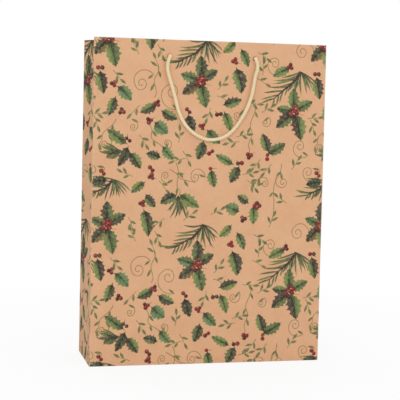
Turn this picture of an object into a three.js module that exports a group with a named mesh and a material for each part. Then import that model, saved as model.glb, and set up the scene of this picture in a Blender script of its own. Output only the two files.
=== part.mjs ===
import * as THREE from 'three';

// A paper gift bag standing open on its base, with two cord handles.
// Millimetres, +Z up, X along the width, front face towards -Y.
// The origin is the middle of the base, on the surface that the bag stands on.

// Driving dimensions of the bag.
const bagWidth = 250;
const bagHeight = 340; // length of each wall from base crease to top edge
const bagDepth = 80;
const mouthNarrowing = 8; // how much less the bag measures front to rear at its mouth
const paperThickness = 0.4;
const layerGap = 0.3; // between sheets that lie on each other

// Turned-over top edge and its reinforcing card.
const hemHeight = 35;
const hemSideInset = 3; // keeps the corner folds clear
const cardHeight = 28;
const cardThickness = 0.8;
const cardSideInset = 6;
const cardTopInset = 1.5;

// Base.
const footLift = 0.3; // the outer flap stands a little below the walls
const frontFlapDepth = 62;
const rearFlapDepth = 56;
const tuckDepth = 44;
const tuckTaper = 16;
const baseEdgeGap = 0.9; // from a wall's inner face to what lies in the base
const baseCardThickness = 1.0;
const baseCardSideInset = 2.5;

// Side seam.
const seamTabWidth = 15;
const seamTabInset = 2;

// Handles.
const cordDiameter = 4;
const holeDiameter = 5;
const holeSpacing = 92;
const holeDrop = 17; // hole centre below the top edge
const handleDrop = 86;
const cordStandOff = 0.5; // from the wall's face to the cord
const cordSides = 8;
const cordSteps = 36;
const knotDiameter = 9.6;
const knotLength = 7;
const knotTail = 3;

// A hanging handle's route: across as a share of half the hole spacing, down as a share of the drop.
const handleRoute = [
  [-1.0, 0.0], [-1.045, 0.08], [-1.05, 0.16], [-1.01, 0.25], [-0.935, 0.37], [-0.855, 0.52],
  [-0.775, 0.665], [-0.665, 0.785], [-0.505, 0.885], [-0.305, 0.955], [-0.09, 0.995],
  [0.12, 0.99], [0.31, 0.955], [0.48, 0.885], [0.62, 0.795], [0.74, 0.69], [0.845, 0.575],
  [0.92, 0.455], [0.965, 0.335], [1.0, 0.215], [1.045, 0.13], [1.04, 0.06], [1.0, 0.0],
];

// Worked-out sizes.
const mouthDepth = bagDepth - mouthNarrowing;
const wallLean = Math.asin(mouthNarrowing / 2 / bagHeight);
const gussetHalf = bagDepth / 2;
const holeHeight = bagHeight - holeDrop;
const hemStart = paperThickness + layerGap + cardThickness + layerGap; // hem's outer face
const hemStack = hemStart + paperThickness;
// The gusset's centre crease swings in about the base edge as the mouth narrows.
const creaseHeight = (bagHeight - gussetHalf * Math.sin(wallLean)) / Math.cos(wallLean);
const creaseLean = Math.acos(creaseHeight / bagHeight);
const creaseInset = bagHeight * Math.sin(creaseLean);
const mouthCorner = Math.atan2(mouthDepth / 2, creaseInset);
const gussetEdgeGap =
  (paperThickness * (1 + Math.cos(mouthCorner)) + layerGap) / Math.sin(mouthCorner);

const kraftPaper = { color: 0xd8aa86, roughness: 0.85, metalness: 0 };
const plainKraft = { color: 0xc99b72, roughness: 0.9, metalness: 0 };
const greyCard = { color: 0xb8aa96, roughness: 0.95, metalness: 0 };
const creamCord = { color: 0xf0dcae, roughness: 0.45, metalness: 0 };

function piece(name, geometry, finish) {
  const mesh = new THREE.Mesh(geometry, new THREE.MeshStandardMaterial(finish));
  mesh.name = name;
  return mesh;
}

// A closed outline through corner points.
function outline(points) {
  return new THREE.Shape(points.map(([x, y]) => new THREE.Vector2(x, y)));
}

function rectangle(left, right, low, high) {
  return outline([[left, low], [right, low], [right, high], [left, high]]);
}

function punchHandleHoles(shape) {
  for (const side of [-1, 1]) {
    const hole = new THREE.Path();
    hole.absarc(side * holeSpacing / 2, holeHeight, holeDiameter / 2, 0, 2 * Math.PI, true);
    shape.holes.push(hole);
  }
  return shape;
}

// A sheet standing upright: its outline is drawn in X and Z, and it is thick along +Y.
function uprightSheet(shape, thickness, start) {
  const geometry = new THREE.ExtrudeGeometry(shape, {
    depth: thickness, bevelEnabled: false, curveSegments: 8,
  });
  geometry.rotateX(Math.PI / 2);
  geometry.translate(0, start + thickness, 0);
  return geometry;
}

// A sheet lying flat, thick along +Z.
function flatSheet(shape, thickness, start) {
  const geometry = new THREE.ExtrudeGeometry(shape, { depth: thickness, bevelEnabled: false });
  geometry.translate(0, 0, start);
  return geometry;
}

// A wall is built in its own frame: outer face at Y 0, bag inside towards +Y, base crease at Z 0.
function wallPanel(name) {
  const half = bagWidth / 2;
  const shape = punchHandleHoles(rectangle(-half, half, footLift, bagHeight));
  return piece(name, uprightSheet(shape, paperThickness, 0), kraftPaper);
}

function wallHem(name) {
  const half = bagWidth / 2 - hemSideInset;
  const shape = punchHandleHoles(rectangle(-half, half, bagHeight - hemHeight, bagHeight));
  return piece(name, uprightSheet(shape, paperThickness, hemStart), kraftPaper);
}

function hemCard(name) {
  const half = bagWidth / 2 - cardSideInset;
  const top = bagHeight - cardTopInset;
  const shape = punchHandleHoles(rectangle(-half, half, top - cardHeight, top));
  return piece(name, uprightSheet(shape, cardThickness, paperThickness + layerGap), greyCard);
}

// The cord end: a shank through the hole, the knot inside the hem, and its loose tail.
function cordKnot(name, side) {
  const cord = cordDiameter / 2;
  const knot = knotDiameter / 2;
  const seat = hemStack + layerGap;
  const end = seat + knotLength;
  const profile = [
    [0, 0.1], [cord, 0.1], [cord, seat], [knot * 0.8, seat], [knot, seat + knotLength * 0.3],
    [knot, seat + knotLength * 0.65], [knot * 0.7, end], [cord, end], [cord, end + knotTail],
    [0, end + knotTail],
  ].map(([radius, along]) => new THREE.Vector2(radius, along));
  const geometry = new THREE.LatheGeometry(profile, 16);
  const mesh = piece(name, geometry, creamCord);
  mesh.position.set(side * holeSpacing / 2, 0, holeHeight);
  return mesh;
}

// The hanging loop, from one hole to the other along the outside of the wall.
function handleCord(name) {
  const halfSpan = holeSpacing / 2;
  const offset = -(cordStandOff + cordDiameter / 2);
  const points = handleRoute.map(([across, down]) => new THREE.Vector3(
    across * halfSpan, offset, holeHeight - down * handleDrop));
  const section = new THREE.Shape();
  for (let i = 0; i < cordSides; i += 1) {
    const turn = (2 * Math.PI * i) / cordSides;
    const x = (cordDiameter / 2) * Math.cos(turn);
    const y = (cordDiameter / 2) * Math.sin(turn);
    if (i === 0) section.moveTo(x, y);
    else section.lineTo(x, y);
  }
  section.closePath();
  const geometry = new THREE.ExtrudeGeometry(section, {
    steps: cordSteps, extrudePath: new THREE.CatmullRomCurve3(points), bevelEnabled: false,
  });
  return piece(name, geometry, creamCord);
}

// A point of the left-front half of a gusset, u from the wall corner to the centre crease and
// v up the sheet. Below half the depth the sheet is creased along a 45 degree line.
function gussetPoint(u, v) {
  const corner = (height) => new THREE.Vector3(
    -bagWidth / 2, -bagDepth / 2 + height * Math.sin(wallLean), height * Math.cos(wallLean));
  const crease = (height) => new THREE.Vector3(
    -bagWidth / 2 + height * Math.sin(creaseLean), 0, height * Math.cos(creaseLean));
  if (v >= gussetHalf) return corner(v).lerp(crease(v), u / gussetHalf);
  const diagonal = corner(0).lerp(crease(gussetHalf), v / gussetHalf);
  if (u <= v) return corner(v).lerp(diagonal, v > 0 ? u / v : 0);
  return diagonal.lerp(crease(v), (u - v) / (gussetHalf - v));
}

function gussetNormal(u, v) {
  const step = 0.5;
  const across = gussetPoint(u + step, v).sub(gussetPoint(u - step, v));
  const up = gussetPoint(u, v + step).sub(gussetPoint(u, Math.max(v - step, 0)));
  return across.cross(up).normalize();
}

// A sheet bent to the gusset, between two distances across and two heights, set in by inset.
function gussetSheet(uLow, uHigh, rows, inset) {
  const across = 4;
  const geometry = new THREE.BoxGeometry(1, 1, 1, across, rows.length - 1, 1);
  const position = geometry.attributes.position;
  for (let i = 0; i < position.count; i += 1) {
    const u = uLow + (uHigh - uLow) * (position.getX(i) + 0.5);
    const v = rows[Math.round((position.getY(i) + 0.5) * (rows.length - 1))];
    const depth = inset + paperThickness * (0.5 - position.getZ(i));
    const place = gussetPoint(u, v).addScaledVector(gussetNormal(u, v), depth);
    position.setXYZ(i, place.x, place.y, place.z);
  }
  return geometry;
}

function gussetRows() {
  const rows = [footLift];
  for (let i = 1; i <= 4; i += 1) rows.push((gussetHalf * i) / 4);
  for (let i = 1; i <= 4; i += 1) rows.push(gussetHalf + ((bagHeight - gussetHalf) * i) / 4);
  return rows;
}

// The left-front half is built once, and mirrored to the other three places. Its box is turned
// inside out by the bending, which one mirroring puts right, so the other copies turn their faces.
function mirrored(geometry, flipX, flipY) {
  const copy = geometry.clone();
  copy.scale(flipX ? -1 : 1, flipY ? -1 : 1, 1);
  if (flipX === flipY) {
    const index = copy.index;
    for (let i = 0; i < index.count; i += 3) {
      const first = index.getX(i);
      index.setX(i, index.getX(i + 1));
      index.setX(i + 1, first);
    }
  }
  copy.computeVertexNormals();
  return copy;
}

function addGussets(bag) {
  const creaseEdge = gussetHalf - layerGap / 2;
  const sheet = gussetSheet(gussetEdgeGap, creaseEdge, gussetRows(), 0);
  const hemInset = paperThickness + layerGap;
  const hemEdge = creaseEdge + hemInset / Math.tan(mouthCorner); // it goes round the outside
  const hemLow = gussetEdgeGap + hemSideInset;
  const hemRows = [bagHeight - hemHeight, bagHeight - hemHeight / 2, bagHeight];
  const hem = gussetSheet(hemLow, hemEdge, hemRows, hemInset);
  for (const [side, flipX] of [['left', false], ['right', true]]) {
    for (const [end, flipY] of [['front', false], ['rear', true]]) {
      bag.add(piece(`${side}_gusset_${end}`, mirrored(sheet, flipX, flipY), kraftPaper));
      bag.add(piece(`${side}_${end}_gusset_hem`, mirrored(hem, flipX, flipY), kraftPaper));
    }
  }
}

// One wall with its hem, card, knots and handle. The rear wall is the same, turned about Z.
function addWall(bag, end, turn) {
  const place = new THREE.Group();
  place.rotation.z = turn;
  const wall = new THREE.Group();
  wall.position.y = -bagDepth / 2;
  wall.rotation.x = -wallLean;
  wall.add(wallPanel(`${end}_panel`));
  wall.add(wallHem(`${end}_hem`));
  wall.add(hemCard(`${end}_hem_card`));
  const leftSide = turn === 0 ? -1 : 1;
  wall.add(cordKnot(`${end}_left_knot`, leftSide));
  wall.add(cordKnot(`${end}_right_knot`, -leftSide));
  wall.add(handleCord(`${end}_handle_cord`));
  place.add(wall);
  bag.add(place);
  return wall;
}

// The glued overlap, inside the rear wall along its right-hand edge.
function addSeam(rearWall) {
  const outer = -(bagWidth / 2 - seamTabInset);
  const top = bagHeight - hemHeight - seamTabInset;
  const low = baseStackTop() + seamTabInset;
  const shape = rectangle(outer, outer + seamTabWidth, low, top);
  const geometry = uprightSheet(shape, paperThickness, paperThickness + layerGap);
  rearWall.add(piece('side_seam_tab', geometry, plainKraft));
}

function baseStackTop() {
  return 3 * (paperThickness + layerGap) + baseCardThickness;
}

function addBase(bag) {
  const layer = paperThickness + layerGap;
  const inner = paperThickness + baseEdgeGap;
  const halfWidth = bagWidth / 2 - inner;
  const halfDepth = bagDepth / 2 - inner;
  const frontFlap = rectangle(-halfWidth, halfWidth, -halfDepth, frontFlapDepth - bagDepth / 2);
  bag.add(piece('front_bottom_flap', flatSheet(frontFlap, paperThickness, 0), kraftPaper));
  const rearFlap = rectangle(-halfWidth, halfWidth, bagDepth / 2 - rearFlapDepth, halfDepth);
  bag.add(piece('rear_bottom_flap', flatSheet(rearFlap, paperThickness, layer), kraftPaper));
  for (const [side, sign] of [['left', -1], ['right', 1]]) {
    const end = sign * (bagWidth / 2 - tuckDepth);
    const tuck = outline([
      [sign * halfWidth, -halfDepth], [end, -halfDepth + tuckTaper],
      [end, halfDepth - tuckTaper], [sign * halfWidth, halfDepth],
    ]);
    bag.add(piece(`${side}_bottom_tuck`, flatSheet(tuck, paperThickness, 2 * layer), kraftPaper));
  }
  const cardHalf = bagWidth / 2 - baseCardSideInset;
  const card = rectangle(-cardHalf, cardHalf, -halfDepth, halfDepth);
  bag.add(piece('base_card', flatSheet(card, baseCardThickness, 3 * layer), greyCard));
}

const bag = new THREE.Group();
addWall(bag, 'front', 0);
const rearWall = addWall(bag, 'rear', Math.PI);
addSeam(rearWall);
addGussets(bag);
addBase(bag);

export default bag;
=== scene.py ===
import math

import bpy
import numpy as np
from mathutils import Matrix, Vector, geometry


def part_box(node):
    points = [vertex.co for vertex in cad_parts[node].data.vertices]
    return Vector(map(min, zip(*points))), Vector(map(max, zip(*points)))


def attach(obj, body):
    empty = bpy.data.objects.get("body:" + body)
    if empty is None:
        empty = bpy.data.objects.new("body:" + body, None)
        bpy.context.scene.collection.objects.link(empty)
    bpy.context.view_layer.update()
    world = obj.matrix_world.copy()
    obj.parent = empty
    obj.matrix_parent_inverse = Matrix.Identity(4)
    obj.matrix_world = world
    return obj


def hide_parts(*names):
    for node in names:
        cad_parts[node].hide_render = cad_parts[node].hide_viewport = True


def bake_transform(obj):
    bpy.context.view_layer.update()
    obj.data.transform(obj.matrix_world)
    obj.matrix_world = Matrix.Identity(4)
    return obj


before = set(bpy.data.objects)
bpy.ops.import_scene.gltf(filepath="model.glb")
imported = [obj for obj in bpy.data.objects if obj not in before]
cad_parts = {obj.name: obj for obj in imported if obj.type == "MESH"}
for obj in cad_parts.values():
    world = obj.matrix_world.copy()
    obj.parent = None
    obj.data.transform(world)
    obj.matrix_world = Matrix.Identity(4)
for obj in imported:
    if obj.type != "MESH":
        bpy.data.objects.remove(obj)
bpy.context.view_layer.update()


mm = 0.001

# The bag's own sizes, in millimetres.
bag = {
    "width": 250.0,
    "height": 340.0,
    "depth": 80.0,
    "mouthNarrowing": 8.0,
    "paper": 0.32,
    "hemHeight": 35.0,
    "cardHeight": 28.0,
    "wallFold": 1.05,
    "cornerFold": 0.5,
    "cornerRound": 0.6,
    "holeSpacing": 92.0,
    "holeDrop": 17.0,
    "holeDiameter": 5.0,
}
halfWidth = bag["width"] / 2
halfDepth = bag["depth"] / 2
height = bag["height"]
lean = math.asin(bag["mouthNarrowing"] / 2 / height)
creaseHeight = (height - halfDepth * math.sin(lean)) / math.cos(lean)
creaseLean = math.acos(creaseHeight / height)
holeHeight = height - bag["holeDrop"]
sinLean, cosLean = math.sin(lean), math.cos(lean)


def smooth(value):
    t = min(1.0, max(0.0, value))
    return t * t * (3 - 2 * t)


def lerp(a, b, share):
    return a + (b - a) * share


# A point of a wall: x across, v up it and w behind its outside. Turn is 1 in front, -1 behind.
def wallPoint(turn, x, w, v):
    y = -halfDepth + w * cosLean + v * sinLean
    return Vector((turn * x, turn * y, v * cosLean - w * sinLean))


# Materials.


def linear(color):
    rgb = [c / 255 for c in color[:3]]
    return tuple(c / 12.92 if c <= 0.04045 else ((c + 0.055) / 1.055) ** 2.4 for c in rgb)


class Wire:
    def __init__(self, graph, socket):
        self.graph, self.socket = graph, socket

    def math(self, operation, *others):
        inputs = dict(enumerate((self, *others)))
        return self.graph.node("ShaderNodeMath", inputs, operation=operation)

    def __add__(self, other):
        return self.math("ADD", other)

    def __mul__(self, other):
        return self.math("MULTIPLY", other)

    __radd__, __rmul__ = __add__, __mul__

    def __sub__(self, other):
        return self.math("SUBTRACT", other)

    def __rsub__(self, other):
        return self.graph.node("ShaderNodeMath", {0: other, 1: self}, operation="SUBTRACT")

    def stretch(self, x, y, z=1.0):
        inputs = {0: self, 1: (x, y, z)}
        return self.graph.node("ShaderNodeVectorMath", inputs, operation="MULTIPLY")

    def between(self, low, high, start=0.0, end=1.0):
        inputs = dict(enumerate((self, low, high, start, end)))
        return self.graph.node("ShaderNodeMapRange", inputs)


# The nodes of a material or a world.
class Graph:
    def __init__(self, owner):
        owner.use_nodes = True
        self.owner, self.tree = owner, owner.node_tree
        self.output = next(n for n in self.tree.nodes if n.type.startswith("OUTPUT"))
        self.shader = self.output.inputs[0].links[0].from_node

    def plug(self, slot, value):
        if isinstance(value, Wire):
            value = value.socket
        if isinstance(value, bpy.types.NodeSocket):
            self.tree.links.new(value, slot)
        elif slot.type == "RGBA":
            slot.default_value = (*value[:3], 1.0)
        else:
            slot.default_value = value

    def node(self, kind, inputs=None, out=0, stops=(), **settings):
        node = self.tree.nodes.new(kind)
        for key, value in settings.items():
            setattr(node, key, value)
        for _ in stops[2:]:
            node.color_ramp.elements.new(0.5)
        for i, (place, color) in enumerate(stops):
            node.color_ramp.elements[i].position = place
            node.color_ramp.elements[i].color = (*linear(color), 1.0)
        for key, value in (inputs or {}).items():
            self.plug(node.inputs[key], value)
        return Wire(self, node.outputs[out])

    def noise(self, vector, scale, detail=3.0, rough=0.55):
        inputs = {"Vector": vector, "Scale": scale, "Detail": detail, "Roughness": rough}
        return self.node("ShaderNodeTexNoise", inputs)

    def mix(self, factor, first, second):
        return self.node("ShaderNodeMix", {0: factor, 6: first, 7: second}, 2, data_type="RGBA")

    def ramp(self, factor, *stops):
        return self.node("ShaderNodeValToRGB", {0: factor}, stops=stops)

    def bump(self, height, strength, distance):
        inputs = {"Height": height, "Strength": strength, "Distance": distance}
        return self.node("ShaderNodeBump", inputs)

    def set(self, **sockets):
        for key, value in sockets.items():
            self.plug(self.shader.inputs[key.replace("_", " ")], value)
        return self.owner


def materialGraph(name):
    return Graph(bpy.data.materials.new(name))


# The camera sees one shader where the factor is 1, and everything else is lit by the other.
def splitForCamera(graph, factor, seen):
    inputs = {0: factor, 1: graph.shader.outputs[0], 2: seen}
    graph.plug(graph.output.inputs[0], graph.node("ShaderNodeMixShader", inputs))


kraftLook = {
    "light": (229, 184, 143),
    "middle": (221, 173, 133),
    "deep": (211, 160, 119),
    "blush": (228, 166, 134),
    "fleck": (176, 124, 84),
    "pale": (238, 204, 170),
    "washLight": (152, 164, 116),
    "washDark": (46, 44, 36),
    "insideLight": (214, 168, 122),
    "insideDeep": (190, 143, 99),
}


def kraftGround(graph, spot, light, middle, deep):
    cloud = graph.noise(spot, 0.035, 4.0, 0.6)
    along = graph.noise(spot.stretch(0.16, 1.5), 0.9, 3.0)
    across = graph.noise(spot.stretch(1.3, 0.2), 0.8, 2.0)
    grain = graph.noise(spot, 1.7, 4.0, 0.7)
    fibre = along * 0.5 + across * 0.5
    tone = cloud * 0.35 + fibre * 0.35 + grain * 0.3
    ground = graph.ramp(tone, (0.34, deep), (0.5, middle), (0.66, light))
    blush = graph.noise(spot, 0.16, 2.0).between(0.5, 0.68)
    ground = graph.mix(blush * 0.3, ground, linear(kraftLook["blush"]))
    flecks = graph.node("ShaderNodeTexVoronoi", {"Vector": spot.stretch(0.5, 1.0), "Scale": 0.42})
    dark = flecks.between(0.13, 0.03) * graph.noise(spot, 0.21, 1.0).between(0.5, 0.62)
    ground = graph.mix(dark * 0.55, ground, linear(kraftLook["fleck"]))
    ground = graph.mix(along.between(0.62, 0.78) * 0.35, ground, linear(kraftLook["pale"]))
    return ground, fibre, grain


def printedKraft():
    graph = materialGraph("printed_kraft")
    spot = graph.node("ShaderNodeUVMap", uv_map="flat").stretch(100.0, 100.0)
    ground, fibre, grain = kraftGround(
        graph, spot, kraftLook["light"], kraftLook["middle"], kraftLook["deep"]
    )
    color = graph.node("ShaderNodeAttribute", attribute_name="ink")
    cover = graph.node("ShaderNodeAttribute", out="Alpha", attribute_name="ink")
    wash = graph.noise(spot, 0.28, 4.0, 0.65)
    dabs = graph.noise(spot.stretch(1.0, 0.8), 0.75, 2.0, 0.5)
    color = graph.mix(wash.between(0.52, 0.68) * 0.42, color, linear(kraftLook["washLight"]))
    color = graph.mix(wash.between(0.47, 0.33) * 0.42, color, linear(kraftLook["washDark"]))
    color = graph.mix(dabs.between(0.5, 0.36) * 0.35, color, linear(kraftLook["washDark"]))
    cover = cover * grain.between(0.25, 0.5, 0.86, 1.0)
    # Along the folds the ink is thinned, as real wear, and the paper is mixed paler, a painted
    # highlight on the fold edges.
    foldWearAndHighlight = graph.node("ShaderNodeAttribute", out="Fac", attribute_name="foldWearAndHighlight")
    rubbedAndHighlit = foldWearAndHighlight * graph.noise(spot, 0.9, 3.0, 0.7).between(0.4, 0.65)
    cover = cover * (1.0 - rubbedAndHighlit * 0.55)
    paper = graph.mix(rubbedAndHighlit * 0.4, ground, linear(kraftLook["pale"]))
    base = graph.mix(cover, paper, color)
    rough = fibre.between(0.3, 0.7, 0.8, 0.9) - cover * 0.1
    relief = fibre * 0.6 + grain * 0.4
    return graph.set(
        Base_Color=base,
        Roughness=rough,
        Specular_IOR_Level=0.35,
        Normal=graph.bump(relief, 0.35, 0.00012),
    )


def plainKraft():
    graph = materialGraph("plain_kraft")
    spot = graph.node("ShaderNodeUVMap", uv_map="flat").stretch(100.0, 100.0)
    ground, fibre, grain = kraftGround(
        graph, spot, kraftLook["insideLight"], kraftLook["insideLight"], kraftLook["insideDeep"]
    )
    relief = fibre * 0.7 + grain * 0.3
    return graph.set(
        Base_Color=ground,
        Roughness=fibre.between(0.3, 0.7, 0.84, 0.94),
        Specular_IOR_Level=0.3,
        Normal=graph.bump(relief, 0.45, 0.00015),
    )


boardLook = {"light": (190, 178, 160), "deep": (158, 146, 128), "fleck": (112, 100, 86)}


def greyBoard():
    graph = materialGraph("grey_board")
    spot = graph.node("ShaderNodeTexCoord", out=3).stretch(1000.0, 1000.0, 1000.0)
    pulp = graph.noise(spot, 0.5, 5.0, 0.7)
    cloud = graph.noise(spot, 0.05, 3.0)
    tone = pulp * 0.6 + cloud * 0.4
    color = graph.ramp(tone, (0.36, boardLook["deep"]), (0.62, boardLook["light"]))
    specks = graph.node("ShaderNodeTexVoronoi", {"Vector": spot, "Scale": 0.5})
    color = graph.mix(specks.between(0.16, 0.05) * 0.5, color, linear(boardLook["fleck"]))
    return graph.set(
        Base_Color=color,
        Roughness=pulp.between(0.3, 0.7, 0.88, 0.97),
        Normal=graph.bump(pulp, 0.4, 0.0002),
    )


# The cord's colours: a cream middle, a near-white painted highlight tone, and a darker painted
# shade for the grooves.
cordLook = {
    "crestHighlight": (255, 246, 212),
    "middle": (255, 233, 184),
    "groove": (216, 184, 128),
    "threads": 30.0,
}


def creamCord():
    graph = materialGraph("cream_cord")
    lay = graph.node("ShaderNodeUVMap", uv_map="lay")
    around, along = (graph.node("ShaderNodeSeparateXYZ", {0: lay}, out) for out in (0, 1))
    strand = (around * 3.0).math("FRACT")
    groove = 1.0 - (strand - 0.5).math("ABSOLUTE") * 2.0
    slant = around * cordLook["threads"] + along * 4.0
    thread = (slant * math.tau).math("SINE")
    flecks = graph.noise(lay.stretch(30.0, 3.0), 3.0, 3.0)
    grooveShade = groove.between(0.35, 0.95)
    middle, crestHighlight, low = (linear(cordLook[key]) for key in ("middle", "crestHighlight", "groove"))
    # The near-white tone is a painted highlight, scattered over the cord by noise.
    color = graph.mix(flecks.between(0.35, 0.7), middle, crestHighlight)
    # Painted shade in the grooves between the strands.
    color = graph.mix(grooveShade * 0.75, color, low)
    # The fine thread lines get the same painted groove shade.
    color = graph.mix(thread.between(-0.2, -1.0) * 0.22, color, low)
    return graph.set(
        Base_Color=color,
        Roughness=flecks.between(0.3, 0.7, 0.36, 0.5),
        Sheen_Weight=0.25,
        Normal=graph.bump(thread * 0.5 + flecks * 0.5, 0.5, 0.00015),
    )


printedFinish, insideFinish = printedKraft(), plainKraft()
boardFinish, cordFinish = greyBoard(), creamCord()
print("stage: materials")

# The printed pattern: sprigs of holly, berries, pine and curling vines.

printRandom = np.random.default_rng(2412)

tones = {
    "light": ((130, 149, 82), (88, 113, 62)),
    "blue": ((112, 146, 94), (78, 112, 72)),
    "mid": ((102, 124, 72), (62, 82, 50)),
    "dark": ((72, 78, 58), (34, 34, 28)),
    "purple": ((70, 60, 54), (38, 28, 28)),
    "yellow": ((146, 154, 76), (100, 118, 54)),
    "brown": ((130, 110, 66), (64, 52, 38)),
}

inks = {
    "rib": (36, 34, 26),
    "dusk": (40, 38, 34),
    "paleVein": (176, 190, 152),
    "berry": ((84, 22, 26), (164, 38, 42), (118, 26, 32)),
    "ripeBerry": ((52, 28, 28), (108, 32, 36), (68, 26, 30)),
    "berryShine": (220, 142, 130),
    "berryStem": (70, 50, 44),
    "ember": (214, 112, 66),
    "needles": ((70, 90, 54), (94, 114, 62), (52, 58, 42), (112, 126, 70), (84, 96, 54)),
    "needleFoot": (46, 48, 34),
    "needleShine": (146, 158, 112),
    "bark": (54, 48, 48),
    "sprigStem": (132, 126, 76),
    "leaflets": ((116, 134, 76), (128, 142, 84), (100, 124, 74)),
    "leafletTip": (88, 104, 62),
    "vine": (146, 124, 74),
}

shapes = []


def leftOf(way):
    return np.array((-way[1], way[0]))


def toward(angle):
    return np.array((math.cos(angle), math.sin(angle)))


def signedArea(points):
    xs, ys = np.array(points, float).T
    return xs @ np.roll(ys, -1) - ys @ np.roll(xs, -1)


# One flat shape: its color runs from near at the origin to far at the goal.
def paint(points, near, far=None, origin=None, goal=None):
    points = np.array(points, float)
    if signedArea(points) < 0:
        points = points[::-1]
    far = near if far is None else far
    origin = points[0] if origin is None else np.array(origin, float)
    reach = np.array((1.0, 0.0)) if goal is None else np.array(goal, float) - origin
    shapes.append((points, near, far, origin, reach / max(reach @ reach, 1e-9)))


def withCover(color, cover=1.0):
    return (*linear(color), cover)


def ribbon(points, startWide, endWide, color, cover):
    points = [np.array(p, float) for p in points]
    left, right = [], []
    for i, point in enumerate(points):
        before, after = points[max(0, i - 1)], points[min(len(points) - 1, i + 1)]
        way = (after - before) / max(np.linalg.norm(after - before), 1e-9)
        share = i / (len(points) - 1)
        half = (startWide + (endWide - startWide) * share) / 2
        left.append(point + leftOf(way) * half)
        right.append(point - leftOf(way) * half)
    for i in range(len(points) - 1):
        paint([right[i], right[i + 1], left[i + 1], left[i]], withCover(color, cover))


# One side of a holly leaf: how far along, and how wide.
leafEdge = [
    (0.03, 0.18), (0.09, 0.46), (0.16, 0.88), (0.20, 0.74), (0.26, 0.80), (0.34, 1.14),
    (0.385, 0.90), (0.46, 0.88), (0.545, 1.14), (0.59, 0.82), (0.66, 0.72), (0.74, 0.86),
    (0.78, 0.56), (0.85, 0.38), (0.90, 0.40), (0.93, 0.20), (0.97, 0.08),
]
leafWiden = 1.06


def hollyLeaf(base, tip, width, first, second):
    base, tip = np.array(base, float), np.array(tip, float)
    length = np.linalg.norm(tip - base)
    width = width * leafWiden
    way = (tip - base) / length
    left = leftOf(way)
    leftFirst = left[0] < 0 if abs(left[0]) >= abs(left[1]) else left[1] > 0
    bend = printRandom.uniform(-0.05, 0.05) * length

    def at(along, across):
        sway = bend * math.sin(math.pi * along)
        return base + way * along * length + left * (across * width / 2 + sway)

    rib = [at(t, 0.0) for t in (0.0, 0.33, 0.66, 1.0)]
    for side in (1, -1):
        tone = tones[first if (side > 0) == leftFirst else second]
        edge = [
            at(a + printRandom.uniform(-0.012, 0.012), side * c * printRandom.uniform(0.88, 1.1))
            for a, c in leafEdge
        ]
        paint(
            [rib[0], *edge, *rib[:0:-1]], withCover(tone[1], 0.97), withCover(tone[0], 0.94),
            at(0.45, 0.0), at(0.45, side * 0.8),
        )
        pale = [c * 0.55 + d * 0.45 for c, d in zip(tone[0], inks["paleVein"])]
        foot = [rib[0], at(0.1, side * 0.5), at(0.3, side * 0.34), at(0.5, 0.0)]
        paint(foot, withCover(inks["dusk"], 0.55))
        for start in (0.16, 0.4, 0.62):
            stroke = [at(start + 0.1, side * 0.16), at(start + 0.2, side * 0.62)]
            ribbon(stroke, 0.9, 1.5, pale, 0.42)
            ribbon([at(start, 0.0), at(start + 0.19, side * 0.66)], 0.5, 0.15, tone[1], 0.8)
    ribbon([at(-0.06, 0.0), *rib[1:3], at(0.96, 0.0)], 0.9, 0.3, inks["rib"], 0.9)


def berry(x, z, radius, ripe):
    def ring(size, dx, dz, count):
        turns = np.arange(count) * math.tau / count + 0.2
        return np.stack((x + dx + size * np.cos(turns), z + dz + size * np.sin(turns)), 1)

    rim, body, low = inks["ripeBerry" if ripe else "berry"]
    paint(ring(radius, 0, 0, 11), withCover(rim, 0.97))
    paint(
        ring(radius * 0.78, -radius * 0.08, radius * 0.1, 8), withCover(body), withCover(low),
        (x - radius * 0.4, z + radius * 0.5), (x + radius * 0.5, z - radius * 0.7),
    )
    paint(ring(radius * 0.16, -radius * 0.3, radius * 0.36, 5), withCover(inks["berryShine"], 0.65))


def berries(x, z, count):
    turn = printRandom.uniform(0, math.tau)
    stem, center = toward(turn + 2.4), np.array((x, z))
    line = [center, center + stem * 3.2, center + stem * 6.0 + (0.8, 0.4)]
    ribbon(line, 0.7, 0.35, inks["berryStem"], 0.85)
    spread = 0.0 if count == 1 else 2.1 if count < 4 else 2.7
    for i in range(count):
        angle = turn + i * math.tau / count
        berry(
            x + spread * math.cos(angle), z + spread * math.sin(angle),
            printRandom.uniform(2.0, 2.5), printRandom.random() < 0.3,
        )


rosetteBerries = (
    (1.6, 5.4), (4.2, 2.0), (3.0, -2.2), (-1.8, -5.2), (-4.2, -2.4), (-2.4, 2.2), (0.4, 0.2)
)


def rosette(x, z, leaves):
    for tipX, tipZ, first, second in leaves:
        out = np.array((tipX - x, tipZ - z), float)
        start = np.array((x, z)) + out * 0.12
        hollyLeaf(start, (tipX, tipZ), 0.47 * np.linalg.norm(out), first, second)
    ribbon([(x + 3, z - 2), (x + 7, z - 3.5), (x + 11, z - 4)], 1.4, 0.5, inks["ember"], 0.75)
    for dx, dz in rosetteBerries:
        berry(x + dx, z + dz, printRandom.uniform(2.2, 2.7), dz < -4)


def needle(start, angle, length, color, width=2.1):
    way = toward(math.radians(angle))
    side = leftOf(way) * printRandom.uniform(-0.06, 0.1) * length
    start = np.array(start, float)
    middle, end = start + way * length * 0.5 + side, start + way * length
    thick = leftOf(way) * width / 2
    first, last = (start + middle) / 2 + side * 0.25, (middle + end) / 2 + side * 0.25
    paint(
        [start - thick * 0.4, first - thick * 0.85, middle - thick, last - thick * 0.8, end,
         last + thick * 0.8, middle + thick, first + thick * 0.85, start + thick * 0.4],
        withCover(inks["needleFoot"], 0.94), withCover(color, 0.92),
        start, start + way * length * 0.45,
    )
    ribbon([first + thick * 0.3, last + thick * 0.3], 0.5, 0.3, inks["needleShine"], 0.5)


def needleInk():
    return inks["needles"][printRandom.integers(5)]


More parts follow.
